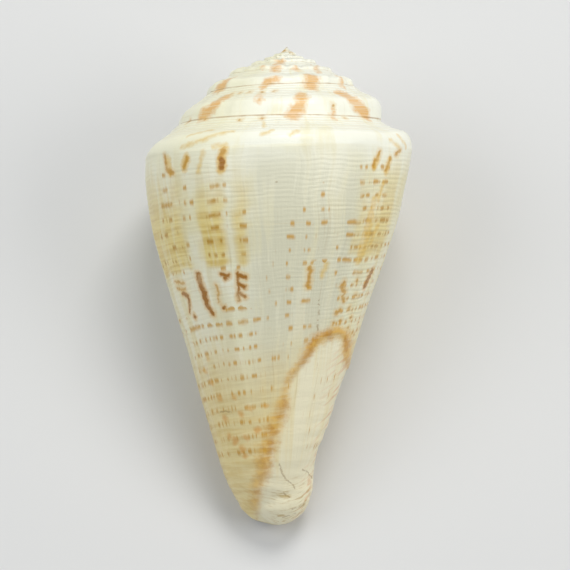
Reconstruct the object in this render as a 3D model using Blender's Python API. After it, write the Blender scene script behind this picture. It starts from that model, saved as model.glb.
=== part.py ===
"""Cone shell, lying on its aperture side, apex toward +Y.

One solid: a spiral of nine whorls grown as one wall round a hollow that
opens at a long, narrow aperture on the underside and at the canal in the
base.  The outside is a loft between sections that grow along a spiral, which
no turned or extruded shape can make, so its faces are built by rule.
"""
import math

import bmesh
import bpy
import numpy as np
from mathutils import Matrix, Vector

# ---------------------------------------------------------------- dimensions
# Millimetres, measured along the shell's own axis from the tip of the spire.
MM = 0.001
LENGTH = 62.2            # tip of the spire to the end of the base
TURNS = 9.0              # whorls from the tip to the outer lip
LIP_TRIM = 0.04          # the tables below start this much of a turn before the lip
LIP_AZIMUTH = 127.5 + 360 * LIP_TRIM     # degrees, where the lip ends (0 = +X)

# radius of the shoulder, counted in whorls back from the outer lip
SHOULDER_TURN = (0.0, 1.0, 2.0, 3.0, 4.0, 5.0, 6.0, 7.0, 8.0, 9.0)
SHOULDER_RADIUS = (19.1, 14.7, 10.9, 7.7, 5.0, 3.05, 1.75, 0.90, 0.40, 0.0)
# how deep below the tip a shoulder of that radius lies: the spire's outline
SPIRE_RADIUS = (0.0, 0.9, 2.15, 4.55, 7.0, 8.85, 10.4, 12.4, 14.2, 16.1, 18.5, 19.1)
SPIRE_DEPTH = (0.0, 0.78, 1.33, 2.28, 3.38, 4.42, 5.6, 7.4, 9.2, 11.4, 13.85, 14.45)
# height of the step between a shoulder and the suture of the next whorl
STEP_TURN = (0.0, 0.15, 0.65, 1.15, 1.65, 2.15, 3.0, 5.0, 9.0)
STEP_HEIGHT = (1.45, 1.56, 2.15, 0.95, 0.62, 0.38, 0.28, 0.14, 0.0)
# side of the last whorl where its shoulder is SIDE_SCALE in radius
SIDE_SCALE = 18.3
SIDE_DEPTH = (13.8, 17.4, 23.7, 29.9, 39.3, 48.6, 55.4, 59.0, 60.6, 61.6, 62.1)
SIDE_RADIUS = (18.3, 18.0, 17.0, 15.2, 12.05, 9.3, 7.2, 5.45, 4.4, 3.1, 1.1)
# the swollen end of the columella, which closes the base
BULB_DEPTH = (51.4, 53.8, 57.5, 58.5, 60.1, 61.1, 61.75, 62.1, 62.2)
BULB_RADIUS = (3.6, 4.3, 4.3, 4.0, 3.5, 2.6, 1.7, 0.8, 0.0)
BULB_INSIDE = 0.60       # its size where the aperture passes it
PILLAR = 2.0             # radius of the columella inside

WALL_LIP = 0.9           # wall at the outer lip
WALL = 1.7               # wall half a turn behind the lip
CALLUS = 0.30            # glaze laid on the whorl before
HOLLOW_TURNS = 1.25      # how far back the hollow is open
HOLLOW_TURN = (0.0, 0.4, 0.65, 1.0, 1.25)      # how deep the hollow reaches, by turn
HOLLOW_DEPTH = (57.5, 55.0, 51.5, 44.0, 40.0)
CANAL_TURNS = (0.03, 0.13)   # canal open through the base up to here

REST_PITCH = 15.15       # degrees, axis lifted at the spire end
REST_ROLL = 0.4          # degrees about the shell's axis
AXIS_YAW = 1.0           # degrees, axis turned in the plan
WEAR = 0.11              # depth of the worn flats that it rests on

COLUMNS = 44             # sections in each turn
SIDE_ROWS = 22
HOLLOW_ROWS = 14
TIP_TURN = 7             # the whorls before this one are left to the tip itself


def curve(xs, ys):
    """Monotone cubic through the points, straight beyond both ends."""
    xs = np.asarray(xs, float)
    ys = np.asarray(ys, float)
    h = np.diff(xs)
    d = np.diff(ys) / h
    m = np.zeros(len(xs))
    m[0], m[-1] = d[0], d[-1]
    for i in range(1, len(xs) - 1):
        if d[i - 1] * d[i] > 0:
            a = 2 * h[i] + h[i - 1]
            b = h[i] + 2 * h[i - 1]
            m[i] = (a + b) / (a / d[i - 1] + b / d[i])

    def f(x):
        x = np.asarray(x, float)
        i = np.clip(np.searchsorted(xs, x) - 1, 0, len(xs) - 2)
        t = (np.clip(x, xs[0], xs[-1]) - xs[i]) / h[i]
        y = ((2 * t ** 3 - 3 * t ** 2 + 1) * ys[i] + (t ** 3 - 2 * t ** 2 + t) * h[i] * m[i]
             + (3 * t ** 2 - 2 * t ** 3) * ys[i + 1] + (t ** 3 - t ** 2) * h[i] * m[i + 1])
        return y + np.minimum(x - xs[0], 0) * m[0] + np.maximum(x - xs[-1], 0) * m[-1]
    return f


def ease(a, b, x):
    t = np.clip((np.asarray(x, float) - a) / (b - a), 0, 1)
    return t * t * (3 - 2 * t)


shoulder_radius = curve([t - LIP_TRIM for t in SHOULDER_TURN], SHOULDER_RADIUS)
spire_depth = curve(SPIRE_RADIUS, SPIRE_DEPTH)
step_height = curve([t - LIP_TRIM for t in STEP_TURN], STEP_HEIGHT)
side_radius = curve(SIDE_DEPTH, SIDE_RADIUS)
bulb_radius = curve(BULB_DEPTH, BULB_RADIUS)
hollow_depth = curve(HOLLOW_TURN, HOLLOW_DEPTH)


def corner(k):
    """Shoulder of the whorl k turns back: radius and depth."""
    r = np.maximum(shoulder_radius(k), 0)
    return r, spire_depth(r)


def side(k, z):
    """Radius of whorl k's side at depth z, without its rounded shoulder."""
    k = np.asarray(k, float)
    r0 = np.maximum(shoulder_radius(k), 1e-6)
    s = r0 / SIDE_SCALE
    # toward the lip the whorl grows wider but no longer
    sz = np.where(s > 1, 1 + (s - 1) * (1 - ease(38, 57, z)), s)
    q = z / sz
    p = np.where(q < SIDE_DEPTH[0], SIDE_RADIUS[0], side_radius(np.clip(q, SIDE_DEPTH[0], 62.1)))
    p = np.where(q > 62.1, 1.1 - (q - 62.1) * 1.6, p)
    p = p * s
    inner = 1 - (1 - BULB_INSIDE) * ease(0.74, 1.0, k)
    b = bulb_radius(np.clip(z, BULB_DEPTH[0], LENGTH)) * inner
    b = np.where(z < BULB_DEPTH[0], np.maximum(b, PILLAR), b)
    b = np.minimum(b, 0.5 * r0)
    soft = np.minimum(1.0, 0.1 * r0) * np.clip((LENGTH + 0.05 - z) / 5.0, 0, 1)
    both = 0.5 * (p + b + np.sqrt((p - b) ** 2 + soft ** 2))
    return np.where(z >= LENGTH - 1e-4, 0.0, np.maximum(both, 0.0))


def shoulder_arc(k, suture_r, suture_z):
    """The three points that round the shoulder between ramp and side."""
    r1, z1 = corner(k)
    s = r1 / SIDE_SCALE
    run = np.maximum(np.hypot(r1 - suture_r, z1 - suture_z), 1e-9)
    f = np.minimum(1.35 * s / run, 0.45)
    r0 = r1 + (suture_r - r1) * f
    z0 = z1 + (suture_z - z1) * f
    z2 = z1 + 1.6 * s
    r2 = side(k, z2)
    return r0, z0, r1, z1, r2, z2


def outer(k, z):
    """Radius of the outside of whorl k at depth z, below its shoulder."""
    sr, sz = suture(k)
    r0, z0, r1, z1, r2, z2 = shoulder_arc(k, sr, sz)
    a = z0 - 2 * z1 + z2
    b = 2 * (z1 - z0)
    c = z0 - z
    a = np.where(np.abs(a) < 1e-9, 1e-9, a)
    t = np.clip((-b + np.sqrt(np.maximum(b * b - 4 * a * c, 0))) / (2 * a), 0, 1)
    arc = (1 - t) ** 2 * r0 + 2 * t * (1 - t) * r1 + t * t * r2
    return np.where(z < z2, arc, side(k, z))


def rim_bottom(k):
    """Where the next whorl's suture crosses whorl k, below its shoulder."""
    r1, z1 = corner(k)
    step = np.minimum(step_height(np.maximum(np.asarray(k, float) - 1, 0)), 2.2)
    s = r1 / SIDE_SCALE
    z = z1 + step
    # the shoulder's own rounding, without its ramp, is enough here
    z2 = z1 + 1.6 * s
    t = np.clip((z - z1) / np.maximum(z2 - z1, 1e-9), 0, 1)
    r2 = side(k, z2)
    near = r2 - (r1 - r1 * 0.965) * (1 - t) ** 2
    return np.where(z < z2, near, side(k, z)), z


def suture(k):
    """Inner edge of whorl k's ramp, on the whorl before it."""
    r, z = rim_bottom(np.asarray(k, float) + 1)
    f = np.clip(TIP_TURN - np.asarray(k, float), 0, 1)
    return r * f, z * f


def ramp(k, a):
    """Point on the ramp from the suture (a=0) to where its shoulder rounds (a=1)."""
    sr, sz = suture(k)
    r0, z0, *_ = shoulder_arc(k, sr, sz)
    run = np.hypot(r0 - sr, z0 - sz)
    sag = 0.055 * run * np.sin(np.pi * a ** 0.8)
    return sr + (r0 - sr) * a - sag * 0.35, sz + (z0 - sz) * a + sag


def lip_line(v):
    """Growth line, in turns ahead of the section, from suture (0) to base (1)."""
    return curve((0.0, 0.05, 0.13, 0.45, 0.80, 1.0), (0.0, -0.045, -0.004, 0.010, 0.0, -0.018))(v)


def place(r, z, k):
    a = math.radians(LIP_AZIMUTH) + 2 * np.pi * np.asarray(k, float)
    return np.stack([r * np.cos(a), r * np.sin(a), 0 * a - z], axis=-1)


# rows of one section: on the ramp, round the shoulder, down the side
RAMP_ROWS = (0.0, 0.38, 0.74, 1.0)
ROUND_ROWS = (0.36, 0.68, 1.0)
SIDE_STEPS = [1 - (1 - (i + 1) / SIDE_ROWS) ** 1.6 for i in range(SIDE_ROWS)]


def row(k, kind, p):
    """One row of the outside, as (radius, depth), for sections k turns back."""
    if kind == 'ramp':
        return ramp(k, p)
    rb, zb = rim_bottom(k)
    if kind == 'round':
        if p == 1.0:
            return rb, zb
        _, z0 = ramp(k, 1.0)
        z = z0 + (zb - z0) * p
        return outer(k, z), z
    z = zb + (LENGTH - zb) * p
    return outer(k, z), z


def outside():
    """The whole outside as one closed mesh, with the lip closed flat."""
    bm = bmesh.new()
    tip = bm.verts.new((0, 0, 0))
    base = bm.verts.new((0, 0, -LENGTH * MM))
    turns = TIP_TURN * COLUMNS
    # sections run forward from the tip
    k = TIP_TURN - np.arange(turns + 1) / COLUMNS
    rows = ([('ramp', p, 0.10 * p) for p in RAMP_ROWS]
            + [('round', p, 0.10 + 0.06 * p) for p in ROUND_ROWS]
            + [('side', p, 0.16 + 0.84 * p) for p in SIDE_STEPS])
    ring = len(RAMP_ROWS) + len(ROUND_ROWS)
    grid = []
    for kind, p, v in rows:
        # near the lip the sections lean to the growth line
        k2 = np.where(k < 0.3, k - ease(0.30, 0.0, k) * float(lip_line(v)), k)
        r, z = row(k2, kind, p)
        grid.append(place(r, z, k2) * MM)
    columns = []
    for i in range(turns + 1):
        last = i >= turns - COLUMNS
        col = [tip if i < COLUMNS else columns[i - COLUMNS][ring - 1]]
        for j in range(1, len(rows) if last else ring):
            if last and j == len(rows) - 1:
                col.append(base)
            else:
                col.append(bm.verts.new(grid[j][i]))
        columns.append(col)

    def face(*verts):
        seen = []
        for v in verts:
            if v not in seen:
                seen.append(v)
        if len(seen) >= 3:
            bm.faces.new(seen)

    # the first section closes to the tip
    for j in range(1, ring - 1):
        face(tip, columns[0][j], columns[0][j + 1])
    for a, b in zip(columns, columns[1:]):
        for j in range(min(len(a), len(b)) - 1):
            face(a[j], b[j], b[j + 1], a[j + 1])
    # the lip: from the last section back to the whorl before it
    lip = columns[-1]
    inner = columns[turns - COLUMNS][ring - 1:]
    for j in range(1, ring - 1):
        face(lip[0], lip[j + 1], lip[j])
    for j in range(len(inner) - 1):
        face(inner[j], inner[j + 1], lip[ring + j], lip[ring - 1 + j])
    bmesh.ops.triangulate(bm, faces=bm.faces[:])
    if bm.calc_volume(signed=True) < 0:
        bmesh.ops.reverse_faces(bm, faces=bm.faces[:])
    return bm


def wall(k):
    return WALL_LIP + (WALL - WALL_LIP) * ease(0.0, 0.5, k)


def hollow_inner(k, z):
    """Radius of the hollow's inner wall: the glazed whorl before, or the columella."""
    r = outer(k + 1, np.maximum(z, rim_bottom(k + 1)[1])) + CALLUS
    open_end = 1 - ease(CANAL_TURNS[0], CANAL_TURNS[1], k)
    canal = 1.5 + 0.9 * (1 - ease(57.0, 61.0, z))
    f = open_end * ease(50, 58, z)
    return r * (1 - f) + canal * f


def hollow_outer(k, z):
    """Radius of the hollow's outer wall."""
    open_end = 1 - ease(CANAL_TURNS[0], CANAL_TURNS[1], k)
    r = outer(k, np.minimum(z, LENGTH)) - wall(k)
    return np.maximum(r, hollow_inner(k, z) + 0.5 + 1.5 * open_end * ease(50, 58, z))


def hollow_rows(k):
    """Closed outline of the hollow in the half planes k turns back: (radius, depth) rows."""
    t = wall(k)
    sr, sz = suture(k)
    r1, z1 = corner(k)
    open_end = 1 - ease(CANAL_TURNS[0], CANAL_TURNS[1], k)
    top = np.maximum(sz + 1.15 * t + 0.25, rim_bottom(k + 1)[1] + 0.3)
    stop = hollow_depth(k)
    bottom = stop + (66.0 - stop) * open_end
    out = [(hollow_inner(k, top), top)]
    for a in (0.30, 0.65, 1.0):
        r, z = ramp(k, a)
        z = np.maximum(z + 1.12 * t, top + 0.02 + 0.1 * a)
        out.append((np.clip(r, out[0][0] + 0.2 + a * 0.1, r1 - t * 1.25), z))
    start = out[-1][1] + 1.0
    n = HOLLOW_ROWS
    for i in range(n):
        z = start + (bottom - start) * i / (n - 1)
        out.append((hollow_outer(k, z), z))
    for i in range(n - 1, 0, -1):
        z = top + (bottom - top) * i / (n - 1)
        out.append((hollow_inner(k, z), z + (0.25 if i == n - 1 else 0.0)))
    return out


def hollow():
    """The hollow as a closed spiral tube, from before the lip to deep inside."""
    bm = bmesh.new()
    steps = int(round((HOLLOW_TURNS + 0.06) * 36))
    k = -0.06 + (HOLLOW_TURNS + 0.06) * np.arange(steps + 1) / steps
    pts = np.stack([place(r, z, k) * MM for r, z in hollow_rows(k)])
    # the blind end is a little smaller than the section before it
    mid = pts[:, -1].mean(axis=0)
    pts[:, -1] = mid + (pts[:, -1] - mid) * 0.8
    rings = [[bm.verts.new(p) for p in pts[:, i]] for i in range(steps + 1)]
    m = len(rings[0])
    for a, b in zip(rings, rings[1:]):
        for j in range(m):
            bm.faces.new((a[j], a[(j + 1) % m], b[(j + 1) % m], b[j]))
    # both ends close with a ladder between the outer and the inner wall
    for end, flip in ((rings[0], True), (rings[-1], False)):
        steps_down = [end[4 + i] for i in range(HOLLOW_ROWS)]
        steps_back = [None] + [end[3 + 2 * HOLLOW_ROWS - i] for i in range(1, HOLLOW_ROWS)]
        faces = [[end[0], end[1], end[2], end[3], steps_down[0], steps_down[1], steps_back[1]]]
        for i in range(1, HOLLOW_ROWS - 1):
            faces.append([steps_down[i], steps_down[i + 1], steps_back[i + 1], steps_back[i]])
        for f in faces:
            bm.faces.new(f[::-1] if flip else f)
    bmesh.ops.triangulate(bm, faces=bm.faces[:])
    if bm.calc_volume(signed=True) < 0:
        bmesh.ops.reverse_faces(bm, faces=bm.faces[:])
    return bm


def new_object(name, bm, collection):
    mesh = bpy.data.meshes.new(name)
    bm.to_mesh(mesh)
    bm.free()
    ob = bpy.data.objects.new(name, mesh)
    collection.objects.link(ob)
    return ob


def rest_matrix():
    """Shell frame (tip up) to the world: lying on the aperture side, tip toward +Y."""
    lie = Matrix(((1, 0, 0), (0, 0, 1), (0, -1, 0))).to_4x4()     # y' is down, z' is +Y
    roll = Matrix.Rotation(math.radians(REST_ROLL), 4, 'Z')
    pitch = Matrix.Rotation(math.radians(REST_PITCH), 4, 'X')
    yaw = Matrix.Rotation(math.radians(-AXIS_YAW), 4, 'Z')
    return yaw @ pitch @ lie @ roll


def main():
    for ob in list(bpy.data.objects):
        bpy.data.objects.remove(ob, do_unlink=True)
    model = bpy.data.collections.new("cone_shell")
    tools = bpy.data.collections.new("cutters")
    bpy.context.scene.collection.children.link(model)
    bpy.context.scene.collection.children.link(tools)

    shell = new_object("shell", outside(), model)
    cavity = new_object("hollow_cutter", hollow(), tools)

    m = rest_matrix()
    for ob in (shell, cavity):
        ob.data.transform(m)
    lo = Vector([min(v.co[i] for v in shell.data.vertices) for i in range(3)])
    hi = Vector([max(v.co[i] for v in shell.data.vertices) for i in range(3)])
    shift = Matrix.Translation((-(lo.x + hi.x) / 2, -(lo.y + hi.y) / 2, -lo.z - WEAR * MM))
    for ob in (shell, cavity):
        ob.data.transform(shift)

    bpy.ops.mesh.primitive_cube_add(size=1.0, location=(0, 0, -0.010))
    ground = bpy.context.active_object
    ground.name = "wear_cutter"
    ground.dimensions = (0.2, 0.2, 0.020)
    bpy.ops.object.transform_apply(location=True, rotation=False, scale=True)
    for c in list(ground.users_collection):
        c.objects.unlink(ground)
    tools.objects.link(ground)

    for cutter in (cavity, ground):
        cutter.hide_render = True
        cutter.display_type = 'WIRE'
        mod = shell.modifiers.new(cutter.name, 'BOOLEAN')
        mod.operation = 'DIFFERENCE'
        mod.solver = 'EXACT'
        mod.object = cutter

    mat = bpy.data.materials.new("shell")
    mat.use_nodes = True
    bsdf = mat.node_tree.nodes["Principled BSDF"]
    bsdf.inputs["Base Color"].default_value = (0.78, 0.72, 0.60, 1)
    bsdf.inputs["Roughness"].default_value = 0.32
    bsdf.inputs["Metallic"].default_value = 0.0
    shell.data.materials.append(mat)
    shell.data.shade_smooth()
    shell.data.set_sharp_from_angle(angle=math.radians(50))


main()
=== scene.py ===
"""Looks of the cone shell: one fine mesh for the whole shell, its pigment and gloss,
a pale floor, soft studio light and the camera that looks down on its back."""
import math

import bmesh
import bpy
import numpy as np
from mathutils import Matrix, Vector, kdtree


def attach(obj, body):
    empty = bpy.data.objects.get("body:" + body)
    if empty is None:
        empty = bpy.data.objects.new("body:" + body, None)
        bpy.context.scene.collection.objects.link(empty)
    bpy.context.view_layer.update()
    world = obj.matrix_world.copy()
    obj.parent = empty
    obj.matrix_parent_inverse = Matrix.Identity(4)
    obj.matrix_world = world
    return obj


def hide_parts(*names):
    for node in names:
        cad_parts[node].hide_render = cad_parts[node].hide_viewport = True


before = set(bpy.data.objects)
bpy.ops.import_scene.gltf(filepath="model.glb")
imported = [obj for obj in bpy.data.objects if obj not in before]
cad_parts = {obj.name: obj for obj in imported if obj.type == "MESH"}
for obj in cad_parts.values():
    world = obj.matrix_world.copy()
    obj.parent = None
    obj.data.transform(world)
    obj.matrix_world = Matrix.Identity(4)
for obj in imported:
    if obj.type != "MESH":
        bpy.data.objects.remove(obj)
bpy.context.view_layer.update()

# ---------------------------------------------------------------- dimensions
# Millimetres, measured along the shell's own axis from the tip of the spire.
MM = 0.001
LENGTH = 62.2            # tip of the spire to the end of the base
TURNS = 9.0              # whorls from the tip to the outer lip
LIP_TRIM = 0.04          # the tables below start this much of a turn before the lip
LIP_AZIMUTH = 127.5 + 360 * LIP_TRIM     # degrees, where the lip ends (0 = +X)

# radius of the shoulder, counted in whorls back from the outer lip
SHOULDER_TURN = (0.0, 1.0, 2.0, 3.0, 4.0, 5.0, 6.0, 7.0, 8.0, 9.0)
SHOULDER_RADIUS = (19.1, 14.7, 10.9, 7.7, 5.0, 3.05, 1.75, 0.90, 0.40, 0.0)
# how deep below the tip a shoulder of that radius lies: the spire's outline
SPIRE_RADIUS = (0.0, 0.9, 2.15, 4.55, 7.0, 8.85, 10.4, 12.4, 14.2, 16.1, 18.5, 19.1)
SPIRE_DEPTH = (0.0, 0.78, 1.33, 2.28, 3.38, 4.42, 5.6, 7.4, 9.2, 11.4, 13.85, 14.45)
# height of the step between a shoulder and the suture of the next whorl
STEP_TURN = (0.0, 0.15, 0.65, 1.15, 1.65, 2.15, 3.0, 5.0, 9.0)
STEP_HEIGHT = (1.45, 1.56, 2.15, 0.95, 0.62, 0.38, 0.28, 0.14, 0.0)
# side of the last whorl where its shoulder is SIDE_SCALE in radius
SIDE_SCALE = 18.3
SIDE_DEPTH = (13.8, 17.4, 23.7, 29.9, 39.3, 48.6, 55.4, 59.0, 60.6, 61.6, 62.1)
SIDE_RADIUS = (18.3, 18.0, 17.0, 15.2, 12.05, 9.3, 7.2, 5.45, 4.4, 3.1, 1.1)
# the swollen end of the columella, which closes the base
BULB_DEPTH = (51.4, 53.8, 57.5, 58.5, 60.1, 61.1, 61.75, 62.1, 62.2)
BULB_RADIUS = (3.6, 4.3, 4.3, 4.0, 3.5, 2.6, 1.7, 0.8, 0.0)
BULB_INSIDE = 0.60       # its size where the aperture passes it
PILLAR = 2.0             # radius of the columella inside

WALL_LIP = 0.9           # wall at the outer lip
WALL = 1.7               # wall half a turn behind the lip
CALLUS = 0.30            # glaze laid on the whorl before
HOLLOW_TURNS = 1.25      # how far back the hollow is open
HOLLOW_TURN = (0.0, 0.4, 0.65, 1.0, 1.25)      # how deep the hollow reaches, by turn
HOLLOW_DEPTH = (57.5, 55.0, 51.5, 44.0, 40.0)
CANAL_TURNS = (0.03, 0.13)   # canal open through the base up to here

REST_PITCH = 15.15       # degrees, axis lifted at the spire end
REST_ROLL = 0.4          # degrees about the shell's axis
AXIS_YAW = 1.0           # degrees, axis turned in the plan
WEAR = 0.11              # depth of the worn flats that it rests on

HOLLOW_ROWS = 26
TIP_TURN = 7             # the whorls before this one are left to the tip itself


def curve(xs, ys):
    """Monotone cubic through the points, straight beyond both ends."""
    xs = np.asarray(xs, float)
    ys = np.asarray(ys, float)
    h = np.diff(xs)
    d = np.diff(ys) / h
    m = np.zeros(len(xs))
    m[0], m[-1] = d[0], d[-1]
    for i in range(1, len(xs) - 1):
        if d[i - 1] * d[i] > 0:
            a = 2 * h[i] + h[i - 1]
            b = h[i] + 2 * h[i - 1]
            m[i] = (a + b) / (a / d[i - 1] + b / d[i])

    def f(x):
        x = np.asarray(x, float)
        i = np.clip(np.searchsorted(xs, x) - 1, 0, len(xs) - 2)
        t = (np.clip(x, xs[0], xs[-1]) - xs[i]) / h[i]
        y = ((2 * t ** 3 - 3 * t ** 2 + 1) * ys[i] + (t ** 3 - 2 * t ** 2 + t) * h[i] * m[i]
             + (3 * t ** 2 - 2 * t ** 3) * ys[i + 1] + (t ** 3 - t ** 2) * h[i] * m[i + 1])
        return y + np.minimum(x - xs[0], 0) * m[0] + np.maximum(x - xs[-1], 0) * m[-1]
    return f


def ease(a, b, x):
    t = np.clip((np.asarray(x, float) - a) / (b - a), 0, 1)
    return t * t * (3 - 2 * t)


shoulder_radius = curve([t - LIP_TRIM for t in SHOULDER_TURN], SHOULDER_RADIUS)
spire_depth = curve(SPIRE_RADIUS, SPIRE_DEPTH)
step_height = curve([t - LIP_TRIM for t in STEP_TURN], STEP_HEIGHT)
side_radius = curve(SIDE_DEPTH, SIDE_RADIUS)
bulb_radius = curve(BULB_DEPTH, BULB_RADIUS)
hollow_depth = curve(HOLLOW_TURN, HOLLOW_DEPTH)


def corner(k):
    """Shoulder of the whorl k turns back: radius and depth."""
    r = np.maximum(shoulder_radius(k), 0)
    return r, spire_depth(r)


def side(k, z):
    """Radius of whorl k's side at depth z, without its rounded shoulder."""
    k = np.asarray(k, float)
    r0 = np.maximum(shoulder_radius(k), 1e-6)
    s = r0 / SIDE_SCALE
    # toward the lip the whorl grows wider but no longer
    sz = np.where(s > 1, 1 + (s - 1) * (1 - ease(38, 57, z)), s)
    q = z / sz
    p = np.where(q < SIDE_DEPTH[0], SIDE_RADIUS[0], side_radius(np.clip(q, SIDE_DEPTH[0], 62.1)))
    p = np.where(q > 62.1, 1.1 - (q - 62.1) * 1.6, p)
    p = p * s
    inner = 1 - (1 - BULB_INSIDE) * ease(0.74, 1.0, k)
    b = bulb_radius(np.clip(z, BULB_DEPTH[0], LENGTH)) * inner
    b = np.where(z < BULB_DEPTH[0], np.maximum(b, PILLAR), b)
    b = np.minimum(b, 0.5 * r0)
    soft = np.minimum(1.0, 0.1 * r0) * np.clip((LENGTH + 0.05 - z) / 5.0, 0, 1)
    both = 0.5 * (p + b + np.sqrt((p - b) ** 2 + soft ** 2))
    return np.where(z >= LENGTH - 1e-4, 0.0, np.maximum(both, 0.0))


def shoulder_arc(k, suture_r, suture_z):
    """The three points that round the shoulder between ramp and side."""
    r1, z1 = corner(k)
    s = r1 / SIDE_SCALE
    run = np.maximum(np.hypot(r1 - suture_r, z1 - suture_z), 1e-9)
    f = np.minimum(1.35 * s / run, 0.45)
    r0 = r1 + (suture_r - r1) * f
    z0 = z1 + (suture_z - z1) * f
    z2 = z1 + 1.6 * s
    r2 = side(k, z2)
    return r0, z0, r1, z1, r2, z2


def outer(k, z):
    """Radius of the outside of whorl k at depth z, below its shoulder."""
    sr, sz = suture(k)
    r0, z0, r1, z1, r2, z2 = shoulder_arc(k, sr, sz)
    a = z0 - 2 * z1 + z2
    b = 2 * (z1 - z0)
    c = z0 - z
    a = np.where(np.abs(a) < 1e-9, 1e-9, a)
    t = np.clip((-b + np.sqrt(np.maximum(b * b - 4 * a * c, 0))) / (2 * a), 0, 1)
    arc = (1 - t) ** 2 * r0 + 2 * t * (1 - t) * r1 + t * t * r2
    return np.where(z < z2, arc, side(k, z))


def rim_bottom(k):
    """Where the next whorl's suture crosses whorl k, below its shoulder."""
    r1, z1 = corner(k)
    step = np.minimum(step_height(np.maximum(np.asarray(k, float) - 1, 0)), 2.2)
    s = r1 / SIDE_SCALE
    z = z1 + step
    # the shoulder's own rounding, without its ramp, is enough here
    z2 = z1 + 1.6 * s
    t = np.clip((z - z1) / np.maximum(z2 - z1, 1e-9), 0, 1)
    r2 = side(k, z2)
    near = r2 - (r1 - r1 * 0.965) * (1 - t) ** 2
    return np.where(z < z2, near, side(k, z)), z


def suture(k):
    """Inner edge of whorl k's ramp, on the whorl before it."""
    r, z = rim_bottom(np.asarray(k, float) + 1)
    f = np.clip(TIP_TURN - np.asarray(k, float), 0, 1)
    return r * f, z * f


def ramp(k, a):
    """Point on the ramp from the suture (a=0) to where its shoulder rounds (a=1)."""
    sr, sz = suture(k)
    r0, z0, *_ = shoulder_arc(k, sr, sz)
    run = np.hypot(r0 - sr, z0 - sz)
    sag = 0.055 * run * np.sin(np.pi * a ** 0.8)
    return sr + (r0 - sr) * a - sag * 0.35, sz + (z0 - sz) * a + sag


def lip_line(v):
    """Growth line, in turns ahead of the section, from suture (0) to base (1)."""
    return curve((0.0, 0.05, 0.13, 0.45, 0.80, 1.0), (0.0, -0.045, -0.004, 0.010, 0.0, -0.018))(v)


def place(r, z, k):
    a = math.radians(LIP_AZIMUTH) + 2 * np.pi * np.asarray(k, float)
    return np.stack([r * np.cos(a), r * np.sin(a), 0 * a - z], axis=-1)


def row(k, kind, p):
    """One row of the outside, as (radius, depth), for sections k turns back."""
    if kind == 'ramp':
        return ramp(k, p)
    rb, zb = rim_bottom(k)
    if kind == 'round':
        if p == 1.0:
            return rb, zb
        _, z0 = ramp(k, 1.0)
        z = z0 + (zb - z0) * p
        return outer(k, z), z
    z = zb + (LENGTH - zb) * p
    return outer(k, z), z


def wall(k):
    return WALL_LIP + (WALL - WALL_LIP) * ease(0.0, 0.5, k)


def hollow_inner(k, z):
    """Radius of the hollow's inner wall: the glazed whorl before, or the columella."""
    r = outer(k + 1, np.maximum(z, rim_bottom(k + 1)[1])) + CALLUS
    open_end = 1 - ease(CANAL_TURNS[0], CANAL_TURNS[1], k)
    canal = 1.5 + 0.9 * (1 - ease(57.0, 61.0, z))
    f = open_end * ease(50, 58, z)
    return r * (1 - f) + canal * f


def hollow_outer(k, z):
    """Radius of the hollow's outer wall."""
    open_end = 1 - ease(CANAL_TURNS[0], CANAL_TURNS[1], k)
    r = outer(k, np.minimum(z, LENGTH)) - wall(k)
    return np.maximum(r, hollow_inner(k, z) + 0.5 + 1.5 * open_end * ease(50, 58, z))


def hollow_rows(k):
    """Closed outline of the hollow in the half planes k turns back: (radius, depth) rows."""
    t = wall(k)
    sr, sz = suture(k)
    r1, z1 = corner(k)
    open_end = 1 - ease(CANAL_TURNS[0], CANAL_TURNS[1], k)
    top = np.maximum(sz + 1.15 * t + 0.25, rim_bottom(k + 1)[1] + 0.3)
    stop = hollow_depth(k)
    bottom = stop + (66.0 - stop) * open_end
    out = [(hollow_inner(k, top), top)]
    for a in (0.30, 0.65, 1.0):
        r, z = ramp(k, a)
        z = np.maximum(z + 1.12 * t, top + 0.02 + 0.1 * a)
        out.append((np.clip(r, out[0][0] + 0.2 + a * 0.1, r1 - t * 1.25), z))
    start = out[-1][1] + 1.0
    n = HOLLOW_ROWS
    for i in range(n):
        z = start + (bottom - start) * i / (n - 1)
        out.append((hollow_outer(k, z), z))
    for i in range(n - 1, 0, -1):
        z = top + (bottom - top) * i / (n - 1)
        out.append((hollow_inner(k, z), z + (0.25 if i == n - 1 else 0.0)))
    return out


def rest_matrix():
    """Shell frame (tip up) to the world: lying on the aperture side, tip toward +Y."""
    lie = Matrix(((1, 0, 0), (0, 0, 1), (0, -1, 0))).to_4x4()     # y' is down, z' is +Y
    roll = Matrix.Rotation(math.radians(REST_ROLL), 4, 'Z')
    pitch = Matrix.Rotation(math.radians(REST_PITCH), 4, 'X')
    yaw = Matrix.Rotation(math.radians(-AXIS_YAW), 4, 'Z')
    return yaw @ pitch @ lie @ roll


# ------------------------------------------------------------ the fine surface
# Lattice noise, the same every run.
def lattice(ix, iy, seed):
    h = (ix.astype(np.int64) * 374761393 + iy.astype(np.int64) * 668265263 + seed * 974634777) & 0xFFFFFFFF
    h = ((h ^ (h >> 13)) * 1274126177) & 0xFFFFFFFF
    h = h ^ (h >> 16)
    return (h & 0xFFFFFF) / float(0xFFFFFF)


def noise(x, y, seed):
    """Smooth value noise in -1..1."""
    x, y = np.broadcast_arrays(np.asarray(x, float), np.asarray(y, float))
    ix, iy = np.floor(x), np.floor(y)
    fx, fy = x - ix, y - iy
    fx = fx * fx * (3 - 2 * fx)
    fy = fy * fy * (3 - 2 * fy)
    ix = ix.astype(np.int64)
    iy = iy.astype(np.int64)
    a, b = lattice(ix, iy, seed), lattice(ix + 1, iy, seed)
    c, d = lattice(ix, iy + 1, seed), lattice(ix + 1, iy + 1, seed)
    return 2 * ((a * (1 - fx) + b * fx) * (1 - fy) + (c * (1 - fx) + d * fx) * fy) - 1


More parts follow.
